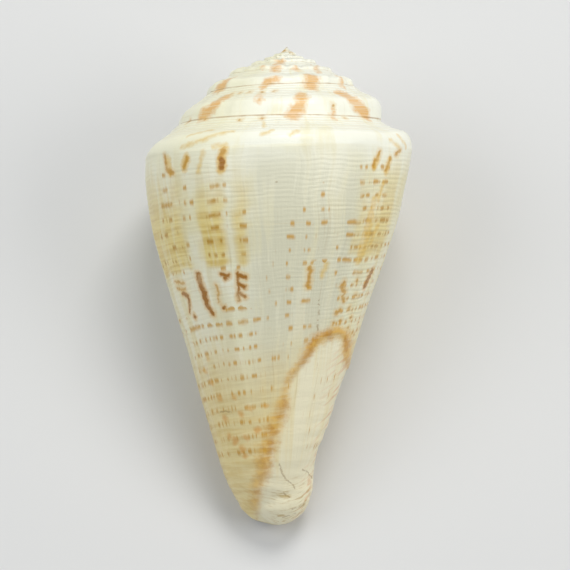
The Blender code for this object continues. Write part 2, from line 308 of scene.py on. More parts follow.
PHI0 = 15.5              # depth, on a section of full size, where the side rows start
RIDGE = 0.58             # spacing of the fine spiral ridges
TURN_COLUMNS = 196
BACK = (0.07, 0.64)      # part of a turn that faces up, with closer columns


def turn_stations():
    """Places of the columns in one turn: closer on the back and at the lip."""
    t = np.linspace(0, 1, 4001)
    dense = 1 + 1.05 * ease(BACK[0] - 0.05, BACK[0] + 0.02, t) * (1 - ease(BACK[1] - 0.02, BACK[1] + 0.05, t))
    cum = np.concatenate([[0], np.cumsum((dense[1:] + dense[:-1]) / 2)])
    cum /= cum[-1]
    lip = np.array([0.0012, 0.003, 0.0055, 0.009])
    u = np.interp(np.arange(TURN_COLUMNS) / TURN_COLUMNS, cum, t)
    u = u[(u < 1e-9) | (u > 0.0125)]
    return np.sort(np.concatenate([u, lip]))


FINE_RAMP = np.linspace(0, 1, 11)
FINE_ROUND = (0.2, 0.4, 0.6, 0.8, 1.0)
FINE_PHI = np.concatenate([PHI0 + RIDGE / 4 * np.arange(1, int((60.4 - PHI0) / (RIDGE / 4)) + 1),
                           LENGTH - (LENGTH - 60.3) * (1 - np.arange(1, 15) / 14.0) ** 1.6])


def side_row(k, phi):
    s = np.maximum(shoulder_radius(k), 1e-6) / SIDE_SCALE
    rb, zb = rim_bottom(k)
    phib = zb / s
    p = phi + (phib - PHI0) * (1 - ease(PHI0, 24.0, phi))
    z = p * (1 + (s - 1) * (1 - ease(40.0, 60.0, p)))
    return outer(k, z), z


def relief(k, kind, p):
    """How far the surface stands out of its plain form, in mm."""
    s = np.maximum(shoulder_radius(k), 0.3) / SIDE_SCALE
    wide = 0.085 * noise(k * 7.0, 0 * k + (p if kind == 'side' else 0) / 9.0, 11) * s
    shoulder = (0.11 * noise(k * 26.0, 0 * k, 12) + 0.17 * noise(k * 10.0, 0 * k + 3, 13)) * np.sqrt(s)
    wave = 0.22 * noise(k * 34.0, (p if kind == 'side' else 0.0) / 3.0, 31) + 0.14 * noise(k * 80.0, (p if kind == 'side' else 0.0) / 1.5, 32)
    down = 1 - ease(PHI0, 21.5, p) if kind == 'side' else (1.0 if kind == 'round' else p * p)
    tuck = 0.22 * (1 - ease(PHI0, 18.0, p)) if kind == 'side' else (1 - 0.78 * p if kind == 'round' else p * p)
    wide = wide + down * 0.30 * np.exp(-((k - 0.60) / 0.09) ** 2) \
        - tuck * (0.70 * np.exp(-((k - 0.10) / 0.09) ** 2) + 0.35 * np.exp(-((k - 1.10) / 0.09) ** 2))
    if kind == 'side':
        # the waist is deeper on the later side of the break
        wide = wide - 0.56 * np.exp(-((k - 0.62) / 0.10) ** 2) * ease(45.0, 49.5, p) * (1 - ease(53.0, 56.0, p))
        back = ease(0.16, 0.26, k) * (1 - ease(0.40, 0.52, k))     # smoother along the middle of the back
        a = 0.036 * (1 - back * (0.35 + 0.30 * ease(22.0, 28.0, p))) * (1 - 0.6 * ease(36.0, 46.0, p)) * ease(PHI0 - 0.3, PHI0 + 2.0, p)
        ridge = a * np.cos(2 * np.pi * (p - PHI0 + wave) / RIDGE)
        ridge = ridge * (0.65 + 0.55 * noise(k * 16.0, 0 * k + p / 0.6, 14))
        warp = 0.30 * noise(k * 5.0, 0 * k + p / 5.0, 15) + 0.16 * noise(k * 17.0, 0 * k + p / 3.0, 16)
        cord = 0.042 * ease(44.0, 51.0, p) * (1 - ease(60.5, 62.0, p)) * (0.7 + 0.6 * noise(k * 8.0, p / 4.0, 22))
        cords = cord * np.cos(2 * np.pi * (p + warp) / 1.55)
        grow = 0.028 * noise(k * 58.0 + 0.35 * np.sin(p / 7.0), 0 * k + p / 26.0, 17) \
            + 0.045 * noise(k * 21.0 + 0.3 * np.sin(p / 9.0), 0 * k + p / 40.0, 18)
        grow = grow * (0.55 + 0.45 * ease(PHI0, 24, p))
        rim = shoulder * (1 - ease(PHI0, PHI0 + 5.0, p))
        rim = rim + 0.075 * ease(55.0, 58.5, p) * (1 - ease(61.3, 62.1, p)) * noise(k * 4.0, 0 * k + p * 1.5, 25)
        return wide + ridge + cords + grow * (1 - 0.5 * ease(58, 61, p)) + rim
    q = p if kind == 'ramp' else 1.0
    striae = 0.050 * np.sqrt(s) * np.cos(2 * np.pi * (q * 3.6 + 0.25)) * np.sin(np.pi * np.clip(q, 0, 1)) ** 0.5
    lines = 0.045 * noise(k * 76.0 + 2.2 * q, 0 * k + q * 1.5, 19) + 0.06 * noise(k * 29.0 + 1.2 * q, 0 * k + q, 20)
    f = q if kind == 'ramp' else 1.0
    beads = 0.0
    if kind == 'round' or q > 0.6:
        beads = (0.26 * s * ease(1.8, 3.0, k) * np.cos(2 * np.pi * (k * 18 + 0.2 * noise(k * 9.0, 0 * k, 23)))
                 + 0.085 * ease(0.95, 1.1, k) * noise(k * 62.0, 0 * k, 24))
    return wide + shoulder * f ** 1.5 + striae + lines * (0.5 + 0.5 * s) + beads


def fine_outside(m):
    """Vertices (world, metres), faces and growth coordinates of the whole outside."""
    u = turn_stations()
    n = len(u)
    k = np.concatenate([t + u for t in range(TIP_TURN)] + [[float(TIP_TURN)]])
    k = np.sort(k)[::-1]                       # from the tip to the lip
    cols = len(k)
    rows = ([('ramp', p, 0.15 * p) for p in FINE_RAMP]
            + [('round', p, 0.15 + (PHI0 / LENGTH - 0.15) * p) for p in FINE_ROUND]
            + [('side', p, p / LENGTH) for p in FINE_PHI])
    ring = len(FINE_RAMP) + len(FINE_ROUND)
    last0 = cols - 1 - n                       # first column of the last whorl
    R = np.zeros((len(rows), cols))
    Z = np.zeros_like(R)
    K = np.zeros_like(R)
    D = np.zeros_like(R)
    for j, (kind, p, v) in enumerate(rows):
        line = float(lip_line(v if kind != 'side' else 0.16 + 0.84 * (p - PHI0) / (LENGTH - PHI0)))
        k2 = np.where(k < 0.3, k - ease(0.30, 0.0, k) * line, k)
        if kind == 'side':
            r, z = side_row(k2, p)
        else:
            r, z = row(k2, kind, p)
        R[j], Z[j], K[j] = r, z, k2
        D[j] = relief(k, kind, p)
    # the healed break stands up a little and drops on its later side
    plain = place(R, Z, K) * MM @ np.array(m.to_3x3()).T + np.array(m.translation)
    sd = scar_distance(in_photo(plain))
    near = (K > 0.10) & (K < 0.63) & (np.arange(len(rows))[:, None] > ring)
    D += near * (0.07 * np.exp(-((sd + 0.1) / 0.45) ** 2) - 0.08 * ease(-0.2, 0.5, sd) * (1 - ease(1.5, 3.9, sd)))
    # the step in the growth at the lip: the edge rounds in
    edge = np.clip(1 - k * 2 * np.pi * R / 0.75, 0, 1)
    D -= 0.34 * (1 - np.sqrt(np.clip(1 - edge ** 2, 0, 1)))
    dR = np.gradient(R, axis=0)
    dZ = np.gradient(Z, axis=0)
    # spire columns stop at the ring, so their last row looks back only
    length = np.maximum(np.hypot(dR, dZ), 1e-9)
    nr, nz = dZ / length, -dR / length         # outward in (radius, depth)
    D *= np.clip(R / 1.2, 0, 1)
    D[0] = 0
    R2 = np.maximum(R + D * nr, 0)
    Z2 = Z + D * nz
    R2[-1], Z2[-1] = 0, LENGTH
    P = place(R2, Z2, K) * MM                  # (rows, cols, 3)
    ids = -np.ones((len(rows), cols), dtype=np.int64)
    verts = [np.zeros((1, 3)), np.array([[0, 0, -LENGTH * MM]])]
    count = 2
    for j in range(1, len(rows)):
        if j == len(rows) - 1:
            ids[j, last0:] = 1
            continue
        lo = 0 if j < ring else last0
        ids[j, lo:] = np.arange(count, count + cols - lo)
        verts.append(P[j, lo:])
        count += cols - lo
    ids[0, :n] = 0
    ids[0, n:] = ids[ring - 1, :cols - n]
    co = np.concatenate(verts)
    V = np.array([v for _, _, v in rows])
    faces, uvs = [], []

    def add(quads, uv):
        faces.append(quads)
        uvs.append(uv)
    for j in range(len(rows) - 1):
        lo = 0 if j < ring - 1 else last0
        a = np.arange(lo, cols - 1)
        quads = np.stack([ids[j, a], ids[j, a + 1], ids[j + 1, a + 1], ids[j + 1, a]], axis=1)
        uv = np.stack([np.stack([k[a], np.full(len(a), V[j])], 1), np.stack([k[a + 1], np.full(len(a), V[j])], 1),
                       np.stack([k[a + 1], np.full(len(a), V[j + 1])], 1), np.stack([k[a], np.full(len(a), V[j + 1])], 1)], axis=1)
        add(quads, uv)
    # the first section closes to the tip, and the lip closes back to the whorl before
    first = ids[:ring, 0]
    extra = [(0, first[j], first[j + 1], first[j + 1]) for j in range(1, ring - 1)]
    lip = ids[:, cols - 1]
    old = ids[ring - 1:, last0]
    extra += [(lip[0], lip[j + 1], lip[j], lip[j]) for j in range(1, ring - 1)]
    extra += [(old[j], old[j + 1], lip[ring + j], lip[ring - 1 + j]) for j in range(len(old) - 1)]
    extra = np.array(extra)
    add(extra, np.zeros((len(extra), 4, 2)) + np.array([0.0, 0.5]))
    faces = np.concatenate(faces)
    uvs = np.concatenate(uvs)
    return co @ np.array(m.to_3x3()).T + np.array(m.translation), faces, uvs, dict(
        ids=ids, K=K, V=V, ring=ring, k=k)


def mesh_from(name, co, faces, uvs=None):
    """Mesh of quads whose repeated corners are dropped."""
    polys, poly_uv = [], []
    for i, f in enumerate(faces):
        keep = [j for j in range(len(f)) if f[j] not in f[:j]]
        if len(keep) >= 3:
            polys.append([int(f[j]) for j in keep])
            if uvs is not None:
                poly_uv.append(uvs[i][keep])
    me = bpy.data.meshes.new(name)
    me.from_pydata(co.tolist(), [], polys)
    if uvs is not None:
        layer = me.uv_layers.new(name="grow")
        layer.data.foreach_set("uv", np.concatenate(poly_uv).astype(np.float32).ravel())
    return me


def fine_hollow(m):
    """The hollow as a closed spiral tube."""
    steps = int(round((HOLLOW_TURNS + 0.06) * 84))
    k = -0.06 + (HOLLOW_TURNS + 0.06) * np.arange(steps + 1) / steps
    pts = np.stack([place(r, z, k) * MM for r, z in hollow_rows(k)])      # (outline, steps, 3)
    mid = pts[:, -1].mean(axis=0)
    pts[:, -1] = mid + (pts[:, -1] - mid) * 0.8
    rows_, cols_ = pts.shape[:2]
    co = pts.reshape(-1, 3)
    idx = np.arange(rows_ * cols_).reshape(rows_, cols_)
    faces = []
    for j in range(rows_):
        j2 = (j + 1) % rows_
        for i in range(cols_ - 1):
            faces.append((idx[j, i], idx[j2, i], idx[j2, i + 1], idx[j, i + 1]))
    for end, flip in ((idx[:, 0], True), (idx[:, -1], False)):
        down = [end[4 + i] for i in range(HOLLOW_ROWS)]
        back = [None] + [end[3 + 2 * HOLLOW_ROWS - i] for i in range(1, HOLLOW_ROWS)]
        caps = [[end[0], end[1], end[2], end[3], down[0], down[1], back[1]]]
        for i in range(1, HOLLOW_ROWS - 1):
            caps.append([down[i], down[i + 1], back[i + 1], back[i]])
        faces += [f[::-1] if flip else f for f in caps]
    me = bpy.data.meshes.new("hollow")
    me.from_pydata((co @ np.array(m.to_3x3()).T + np.array(m.translation)).tolist(), [],
                   [[int(v) for v in f] for f in faces])
    return me


def outward(me):
    bm = bmesh.new()
    bm.from_mesh(me)
    if bm.calc_volume(signed=True) < 0:
        bmesh.ops.reverse_faces(bm, faces=bm.faces[:])
        bm.to_mesh(me)
    bm.free()


def resting():
    """Shell frame to world, as the solid lies: its plain form's box is centred over the origin."""
    m = rest_matrix()
    k = 7 - np.arange(7 * 44 + 1) / 44
    pts = [np.array([[0, 0, 0], [0, 0, -LENGTH * MM]])]
    steps = [('ramp', p, 0.10 * p) for p in (0.0, 0.38, 0.74, 1.0)]
    steps += [('round', p, 0.10 + 0.06 * p) for p in (0.36, 0.68, 1.0)]
    steps += [('side', 1 - (1 - (i + 1) / 22) ** 1.6, 0.16 + 0.84 * (1 - (1 - (i + 1) / 22) ** 1.6)) for i in range(21)]
    for kind, p, v in steps:
        k2 = np.where(k < 0.3, k - ease(0.30, 0.0, k) * float(lip_line(v)), k)
        r, z = row(k2, kind, p)
        q = place(r, z, k2) * MM
        pts.append(q if kind != 'side' else q[6 * 44:])
    pts = np.concatenate(pts) @ np.array(m.to_3x3()).T
    lo, hi = pts.min(axis=0), pts.max(axis=0)
    return Matrix.Translation((-(lo[0] + hi[0]) / 2, -(lo[1] + hi[1]) / 2, -lo[2] - WEAR * MM)) @ m


# ------------------------------------------------------------ camera of the photograph
LENS, SENSOR, FRAME = 200.0, 36.0, 570.0
ELEVATION = 72.85        # degrees above the floor, looking from the base end
DISTANCE = 0.4117
AIM_DEPTH = 31.07        # mm below the tip, on the axis
AIM_RIGHT = 0.28

PLACED = resting()
_e = math.radians(ELEVATION)
CAM_BACK = Vector((0, -math.cos(_e), math.sin(_e)))
CAM_RIGHT = Vector((1, 0, 0))
CAM_UP = CAM_BACK.cross(CAM_RIGHT)
AIM = PLACED @ Vector((0, 0, -AIM_DEPTH * MM)) + CAM_RIGHT * AIM_RIGHT * MM
CAM_AT = AIM + CAM_BACK * DISTANCE


def in_photo(co):
    """Where world points fall in the photograph, in its pixels."""
    rel = np.asarray(co) - np.array(CAM_AT)
    f = LENS / SENSOR * FRAME
    depth = -(rel @ np.array(CAM_BACK))
    return np.stack([FRAME / 2 + f * (rel @ np.array(CAM_RIGHT)) / depth,
                     FRAME / 2 - f * (rel @ np.array(CAM_UP)) / depth], axis=-1)


# the healed break in the growth, as a line on the back, in pixels
SCAR = np.array([(348, 366), (347, 358), (346, 350), (346.6, 341), (344.6, 336), (339, 333), (331, 333),
                 (324, 336), (318, 339), (313, 345), (309, 352), (305, 358), (295, 370), (289, 378), (286, 387),
                 (285, 396), (282, 410), (274, 428), (269, 444), (265, 457), (264, 471), (257, 486), (255, 503),
                 (256, 512)], float)


def scar_distance(px):
    """Signed distance to the break in mm: positive on its later side."""
    best = np.full(px.shape[:-1], 1e9)
    sign = np.ones(px.shape[:-1])
    for a, b in zip(SCAR, SCAR[1:]):
        d = b - a
        t = np.clip(((px - a) @ d) / (d @ d), 0, 1)
        q = px - (a + t[..., None] * d)
        dist = np.hypot(q[..., 0], q[..., 1])
        cross = d[0] * q[..., 1] - d[1] * q[..., 0]
        near = dist < best
        best = np.where(near, dist, best)
        sign = np.where(near, np.where(cross < 0, 1.0, -1.0), sign)
    return np.clip(best * 0.13, 0, 4) * sign


# ------------------------------------------------------------ marks on the back
# Strokes of pigment, as points on the back in the photograph's pixels with half widths.
DARK = [
    [(198, 275, 2.6), (200, 283, 2.8), (204, 293, 2.6), (207, 305, 3.1), (213, 314, 1.5)],
    [(183, 293, 1.6), (188, 296, 2.1), (189, 302, 1.3), (190, 312, 0.9)], [(194.5, 316.5, 1.6)],
    [(221, 274, 2.0), (228, 275, 1.6)], [(225, 278, 1.7)],
    [(238, 273, 1.1), (239, 300, 0.8)], [(238, 275, 1.9), (246, 277, 1.4)],
    [(239, 284, 1.7), (245, 287, 1.4)], [(240, 293, 1.5), (245, 297, 1.2)],
    [(372, 271, 2.2), (369, 277, 2.9), (365, 286, 2.6)],
    [(224, 308, 1.6)], [(222, 160, 2.2), (221, 168, 2.4)],
]
BROWN = [
    [(175, 282, 0.9), (184, 283, 0.9)], [(177, 288, 0.9), (186, 289, 0.8)], [(217, 285, 0.8), (219, 302, 0.8)],
    [(310, 268, 1.3), (309, 278, 1.9), (308, 287, 1.2)], [(357, 281, 1.6)], [(356, 295, 1.5)],
    [(344, 282, 1.2), (341, 287, 1.4), (345, 292, 1.4), (342, 297, 1.4), (344, 301, 1.1)],
    [(349, 308, 1.5)], [(340, 310, 1.5), (336, 313, 1.2)], [(351, 317, 1.5)], [(340, 321, 1.6)],
    [(358, 323, 1.3)], [(348, 328, 1.4)], [(354, 334, 1.3)], [(333, 324, 1.4)],
    [(165, 156, 1.2), (167, 170, 2.6), (172, 173, 1.9)], [(187, 158, 1.3), (184, 168, 2.2)],
    [(224, 150, 1.5), (220, 158, 2.4)], [(380, 152, 1.4), (373, 166, 1.6)], [(390, 159, 1.6), (386, 170, 1.6)],
    [(400, 150, 1.6), (396, 154, 1.5)], [(262, 118, 1.6)], [(189, 122, 1.7)], [(205, 119, 1.0)], [(240, 119.5, 1.0)],
    [(333, 105, 1.1)], [(219, 92, 1.1)], [(240, 93, 1.1)], [(250, 92, 1.0)], [(262, 92, 1.0)], [(275, 91, 1.1)],
    [(232, 94, 1.0)], [(345, 118, 1.2)], [(283, 50, 1.4)], [(291, 53, 1.0)],
]
OCHRE = [
    [(203, 152, 1.6), (198, 172, 2.4)], [(168, 160, 4.0), (170, 172, 4.2)], [(186, 158, 3.6), (184, 168, 3.8)],
    [(224, 150, 3.6), (221, 160, 5.2), (221, 170, 4.0)], [(378, 156, 3.2), (374, 168, 3.4)], [(389, 160, 3.0), (386, 172, 3.2)],
    [(374, 200, 3.4), (371, 214, 4.6), (368, 232, 4.6), (362, 254, 4.0)], [(383, 184, 2.2), (378, 200, 2.8)],
    [(366, 228, 3.0), (361, 246, 3.0), (358, 262, 3.0)], [(377, 226, 2.4), (370, 244, 2.6)], [(214, 146, 1.8), (226, 144, 1.8)],
    [(182, 147, 1.8), (205, 139, 2.0), (233, 132, 1.5)], [(188, 137, 1.2), (212, 131, 1.2)],
    [(262, 134, 1.8), (272, 131, 1.6)], [(289, 135, 1.5), (298, 132, 1.6)], [(264, 122, 1.6), (264, 127, 1.2)],
    [(398, 136, 1.5), (406, 147, 2.0)], [(390, 140, 1.2), (399, 146, 1.4)],
    [(220, 399, 3.0)], [(234, 397, 2.4)], [(250, 408, 2.6)], [(266, 406, 2.0)],
    [(225, 418, 3.2)], [(241, 414, 3.0)], [(257, 430, 3.4)], [(235, 441, 3.8)], [(246, 438, 2.6)],
    [(242, 449, 3.0)], [(245, 456, 2.6)], [(229, 436, 2.6)], [(212, 383, 2.2)],
    [(205, 371, 3.2)], [(208, 358, 2.6)], [(322, 276, 2.4), (326, 265, 2.2)],
]
FLAME = [
    [(224, 98, 6.1), (214, 106, 7.6), (203, 116, 4.4)], [(302, 96, 5.1), (299, 106, 6.3), (292, 116, 6.1)],
    [(344, 95, 7.3), (355, 103, 7.8), (366, 115, 4.9)], [(333, 111, 1.7), (333, 118, 2.2)], [(260, 95, 2.2), (259, 101, 1.7)],
    [(230, 79, 5.6), (223, 86, 6.1), (216, 91, 3.4)], [(276, 78, 3.9), (268, 82, 3.4), (262, 87, 2.9)],
    [(312, 77, 6.6), (311, 87, 6.1)], [(339, 77, 2.7), (343, 87, 2.2)],
    [(279, 62, 3.9), (276, 70, 4.1)], [(296, 69, 3.4)], [(316, 66, 2.3), (318, 73, 2.1)], [(263, 67, 2.2)],
]
CRACK = [
    [(221, 411.5, 0.5), (226, 411, 0.7), (231, 412.5, 0.4)], [(279, 464, 0.3), (282, 473, 0.5), (287, 480, 0.6), (295, 488, 0.4)],
    [(303, 469, 0.3), (308, 473, 0.6), (312, 478, 0.5)], [(281, 492, 0.3), (291, 498, 0.3)],
    [(318.5, 300, 0.5)], [(319, 305, 0.6)], [(318.5, 311, 0.6), (318.5, 314, 0.5)], [(318, 320, 0.6)],
    [(318, 325, 0.5), (318, 330, 0.6)], [(317.5, 336, 0.5)], [(277, 182, 0.8)],
    [(293, 509, 0.3), (304, 503, 0.4)], [(283, 517, 0.3), (296, 513, 0.5)],
]
# rows of small dashes: x0, x1, y0, y1, how thick they stand
DASHES = (
    (161, 180, 165, 276, 0.80), (182, 193, 175, 276, 0.70), (205, 229, 176, 276, 0.85), (236, 247, 205, 274, 0.85),
    (176, 195, 318, 345, 0.8), (194, 224, 322, 408, 0.92), (226, 262, 306, 382, 0.88), (205, 268, 382, 462, 0.78),
    (285, 294, 205, 335, 0.86), (302, 313, 200, 350, 0.88), (314, 330, 180, 262, 0.80), (335, 347, 225, 335, 0.82),
    (296, 301, 225, 335, 0.55), (346, 374, 218, 335, 0.85), (360, 390, 160, 272, 0.85), (266, 284, 225, 330, 0.45),
    (262, 300, 340, 395, 0.55), (300, 345, 360, 450, 0.42),
)


# ------------------------------------------------------------ small helpers for nodes
class Tree:
    """Shader nodes by the values they give."""
    def __init__(self, tree):
        self.tree = tree

    def node(self, kind, **props):
        n = self.tree.nodes.new(kind)
        for key, value in props.items():
            setattr(n, key, value)
        return n

    def put(self, socket, value):
        if isinstance(value, bpy.types.NodeSocket):
            self.tree.links.new(value, socket)
        elif value is not None:
            if hasattr(socket.default_value, '__len__') and not hasattr(value, '__len__'):
                value = (value,) * len(socket.default_value)
            socket.default_value = value

    def math(self, op, a, b=None, c=None, clamp=False):
        n = self.node('ShaderNodeMath', operation=op, use_clamp=clamp)
        for i, value in enumerate((a, b, c)):
            self.put(n.inputs[i], value) if value is not None else None
        return n.outputs[0]

    def vec(self, op, a, b=None, c=None, scale=None):
        n = self.node('ShaderNodeVectorMath', operation=op)
        for i, value in enumerate((a, b, c)):
            self.put(n.inputs[i], value) if value is not None else None
        if scale is not None:
            self.put(n.inputs['Scale'], scale)
        return n.outputs['Value'] if op in ('DOT_PRODUCT', 'DISTANCE', 'LENGTH') else n.outputs['Vector']

    def mix(self, fac, a, b, blend='MIX'):
        n = self.node('ShaderNodeMix', data_type='RGBA', blend_type=blend)
        self.put(n.inputs[0], fac)
        self.put(n.inputs[6], a)
        self.put(n.inputs[7], b)
        return n.outputs[2]

    def noise(self, vector, scale=1.0, detail=2.0, rough=0.5, distortion=0.0, out='Fac'):
        n = self.node('ShaderNodeTexNoise', noise_dimensions='3D')
        self.put(n.inputs['Vector'], vector)
        self.put(n.inputs['Scale'], scale)
        self.put(n.inputs['Detail'], detail)
        self.put(n.inputs['Roughness'], rough)
        self.put(n.inputs['Distortion'], distortion)
        return n.outputs[out]

    def ease(self, x, lo, hi, to_lo=0.0, to_hi=1.0):
        n = self.node('ShaderNodeMapRange', interpolation_type='SMOOTHSTEP', clamp=True)
        for i, value in enumerate((x, lo, hi, to_lo, to_hi)):
            self.put(n.inputs[i], value)
        return n.outputs[0]

    def xyz(self, x, y, z=0.0):
        n = self.node('ShaderNodeCombineXYZ')
        for i, value in enumerate((x, y, z)):
            self.put(n.inputs[i], value)
        return n.outputs[0]


def paint(r, g, b):
    """Colour from 0-255 display values."""
    def lin(c):
        c /= 255.0
        return c / 12.92 if c <= 0.04045 else ((c + 0.055) / 1.055) ** 2.4
    return (lin(r), lin(g), lin(b), 1.0)


def strokes(t, point, marks, on_shell, soft=0.20):
    """How strongly the marks cover this point, 0..1."""
    total = None
    for line in marks:
        pts = [(on_shell(x, y), w * 0.13) for x, y, w in line]
        pairs = list(zip(pts, pts[1:])) if len(pts) > 1 else [(pts[0], pts[0])]
        for (a, wa), (b, wb) in pairs:
            d = b - a
            w = (wa + wb) / 2 + 0.05
            if float(d @ d) < 1e-6:
                dist = t.vec('DISTANCE', point, tuple(a))
            else:
                q = t.vec('SUBTRACT', point, tuple(a))
                along = t.vec('DOT_PRODUCT', q, tuple(d / (d @ d)))
                along = t.math('MAXIMUM', t.math('MINIMUM', along, 1.0), 0.0)
                dist = t.vec('DISTANCE', q, t.vec('SCALE', tuple(d), scale=along))
            v = t.math('MULTIPLY_ADD', dist, -1 / soft, w / soft + 0.5)
            total = v if total is None else t.math('MAXIMUM', total, v)
    return t.math('ADD', total, 0.0, clamp=True), t.ease(total, -1.9, 0.4)


def attribute(t, name, out='Fac'):
    n = t.node('ShaderNodeAttribute', attribute_name=name)
    return n.outputs[out]


# ------------------------------------------------------------ the shell's material
def shell_material(on_shell):
    mat = bpy.data.materials.new("shell")
    mat.use_nodes = True
    tree = mat.node_tree
    bsdf = tree.nodes["Principled BSDF"]
    t = Tree(tree)

    coord = t.node('ShaderNodeTexCoord')
    at = t.vec('SCALE', coord.outputs['Object'], scale=1000.0)          # mm
    uv = t.node('ShaderNodeUVMap', uv_map="grow")
    sep = t.node('ShaderNodeSeparateXYZ')
    t.put(sep.inputs[0], uv.outputs[0])
    k, v = sep.outputs[0], sep.outputs[1]
    depth = t.math('MULTIPLY', v, LENGTH)                                # mm along a side

    zone = t.node('ShaderNodeAttribute', attribute_name="zone")
    zsep = t.node('ShaderNodeSeparateColor')
    t.put(zsep.inputs[0], zone.outputs['Color'])
    tan, pale, suture_stain_and_shade = zsep.outputs[0], zsep.outputs[1], zsep.outputs[2]
    more = t.node('ShaderNodeAttribute', attribute_name="more")
    msep = t.node('ShaderNodeSeparateColor')
    t.put(msep.inputs[0], more.outputs['Color'])
    scar_width, dash_here, scar_dense = msep.outputs[0], msep.outputs[1], msep.outputs[2]
    scar = attribute(t, "scar")
    inside = attribute(t, "inside")

    # growth lines run down a section, spiral lines run along a whorl
    wob = t.noise(at, 0.12, 1, 0.5)
    kw = t.math('MULTIPLY_ADD', wob, 0.02, k)
    axial = t.noise(t.xyz(t.math('MULTIPLY', kw, 46.0), t.math('MULTIPLY', v, 3.2), 1.7), 1, 3, 0.6)
    axial_fine = t.noise(t.xyz(t.math('MULTIPLY', kw, 170.0), t.math('MULTIPLY', v, 6.0), 4.1), 1, 2, 0.6)
    calm = t.ease(depth, 52.0, 58.5)
    axial = t.mix(calm, axial, 0.46)
    axial_fine = t.mix(calm, axial_fine, 0.46)
    spiral = t.noise(t.xyz(t.math('MULTIPLY', k, 9.0), t.math('MULTIPLY', depth, 1.75), 2.3), 1, 2, 0.55)
    cloud = t.noise(at, 0.16, 3, 0.55)
    mottle = t.noise(at, 0.55, 4, 0.6)

    spire = t.ease(v, 0.335, 0.225)                                       # ramp and shoulder
    low = t.ease(t.math('MULTIPLY_ADD', cloud, 9.0, depth), 42.0, 55.0)   # toward the base

    ground = t.mix(t.ease(cloud, 0.36, 0.66), paint(238, 234, 200), paint(245, 244, 224))
    middle = t.math('MULTIPLY', t.ease(t.math('ABSOLUTE', t.math('SUBTRACT', k, 0.385)), 0.105, 0.055), t.ease(depth, 14.5, 19.0))
    ground = t.mix(t.math('MULTIPLY', middle, t.ease(axial, 0.60, 0.47, 0.42, 1.0)), ground, paint(222, 219, 192))
    limb = t.ease(t.math('ABSOLUTE', t.math('SUBTRACT', k, 0.375)), 0.09, 0.17)
    ground = t.mix(t.math('MULTIPLY', limb, t.math('MULTIPLY', t.ease(axial, 0.38, 0.60, 0.25, 0.8), t.ease(k, 1.0, 0.98))), ground, paint(236, 222, 166))
    ground = t.mix(t.math('MULTIPLY', t.ease(axial, 0.46, 0.66), 0.42), ground, paint(222, 214, 176))
    ground = t.mix(t.math('MULTIPLY', low, 0.70), ground, t.mix(t.ease(spiral, 0.35, 0.65), paint(236, 214, 146), paint(222, 192, 112)))
    ground = t.mix(t.math('MULTIPLY', pale, 0.85), ground, t.mix(t.ease(axial, 0.44, 0.68, 0.0, 0.6), paint(246, 240, 210), paint(236, 220, 166)))
    # ramp and shoulder: their own paler colour plus a painted highlight; a weaker painted highlight on the middle of
    # the back just below the shoulder
    high = t.mix(t.ease(axial, 0.50, 0.75, 0.0, 0.55), paint(250, 250, 234), paint(241, 233, 188))
    high = t.mix(t.ease(t.math('COSINE', t.math('MULTIPLY_ADD', k, 2 * math.pi, -0.20 * 2 * math.pi)), 0.70, 0.97, 0.0, 0.55), high, paint(243, 238, 196))
    under = t.math('MULTIPLY', t.ease(v, 0.236, 0.250), t.ease(t.math('ABSOLUTE', t.math('SUBTRACT', k, 0.375)), 0.13, 0.05))
    pale_top_and_highlight = t.math('MAXIMUM', t.math('MULTIPLY', spire, t.math('MULTIPLY_ADD', under, -0.62, 1.0)), t.math('MULTIPLY', t.ease(v, 0.42, 0.25), t.ease(t.math('ABSOLUTE', t.math('SUBTRACT', k, 0.375)), 0.15, 0.06, 0.08, 0.22)))
    ground = t.mix(pale_top_and_highlight, ground, high)

    # tan zones with streaks
    streak = t.math('MULTIPLY_ADD', axial, 1.2, t.math('MULTIPLY_ADD', axial_fine, 0.5, -0.36))
    tanf = t.math('MULTIPLY', tan, t.ease(streak, 0.18, 0.56, 0.25, 1.0))
    colour = t.mix(tanf, ground, t.mix(t.ease(spiral, 0.4, 0.62), paint(222, 194, 110), paint(238, 218, 142)))
    # thin darker growth lines everywhere below the shoulder
    lines = t.math('MULTIPLY', t.ease(axial_fine, 0.60, 0.80, 0.0, 0.26), t.math('SUBTRACT', 1.0, t.math('MULTIPLY', spire, 0.6)))
    colour = t.mix(lines, colour, paint(186, 160, 104))
    # ridges catch a little colour
    colour = t.mix(t.math('MULTIPLY', t.ease(spiral, 0.62, 0.80), 0.22), colour, paint(200, 172, 112))

    # oblique orange lines on the later side of the break
    obl = t.noise(t.xyz(t.math('MULTIPLY_ADD', depth, 2.2, t.math('MULTIPLY', k, 37.0)), t.math('MULTIPLY', k, 14.0), 9.0), 1, 2, 0.5)
    far = t.ease(k, 0.44, 0.53)
    colour = t.mix(t.math('MULTIPLY', t.ease(obl, 0.50, 0.66, 0.0, 0.50), t.math('MULTIPLY', pale, far)), colour, paint(222, 160, 100))

    bend = t.math('MULTIPLY', t.math('POWER', t.math('ABSOLUTE', t.math('SUBTRACT', k, 0.36)), 2.0), 46.0)
    rings = t.noise(t.xyz(t.math('MULTIPLY', k, 9.0), t.math('MULTIPLY', t.math('ADD', depth, bend), 3.0), 41.0), 1, 3, 0.65)
    ringed = t.math('MULTIPLY', t.ease(rings, 0.50, 0.62), t.math('MULTIPLY', t.ease(depth, 55.0, 59.0, 0.0, 0.85), t.ease(k, 0.26, 0.36, 0.30, 1.0)))
    colour = t.mix(t.math('MULTIPLY', ringed, t.ease(mottle, 0.32, 0.55, 0.15, 0.85)), colour, paint(196, 166, 98))

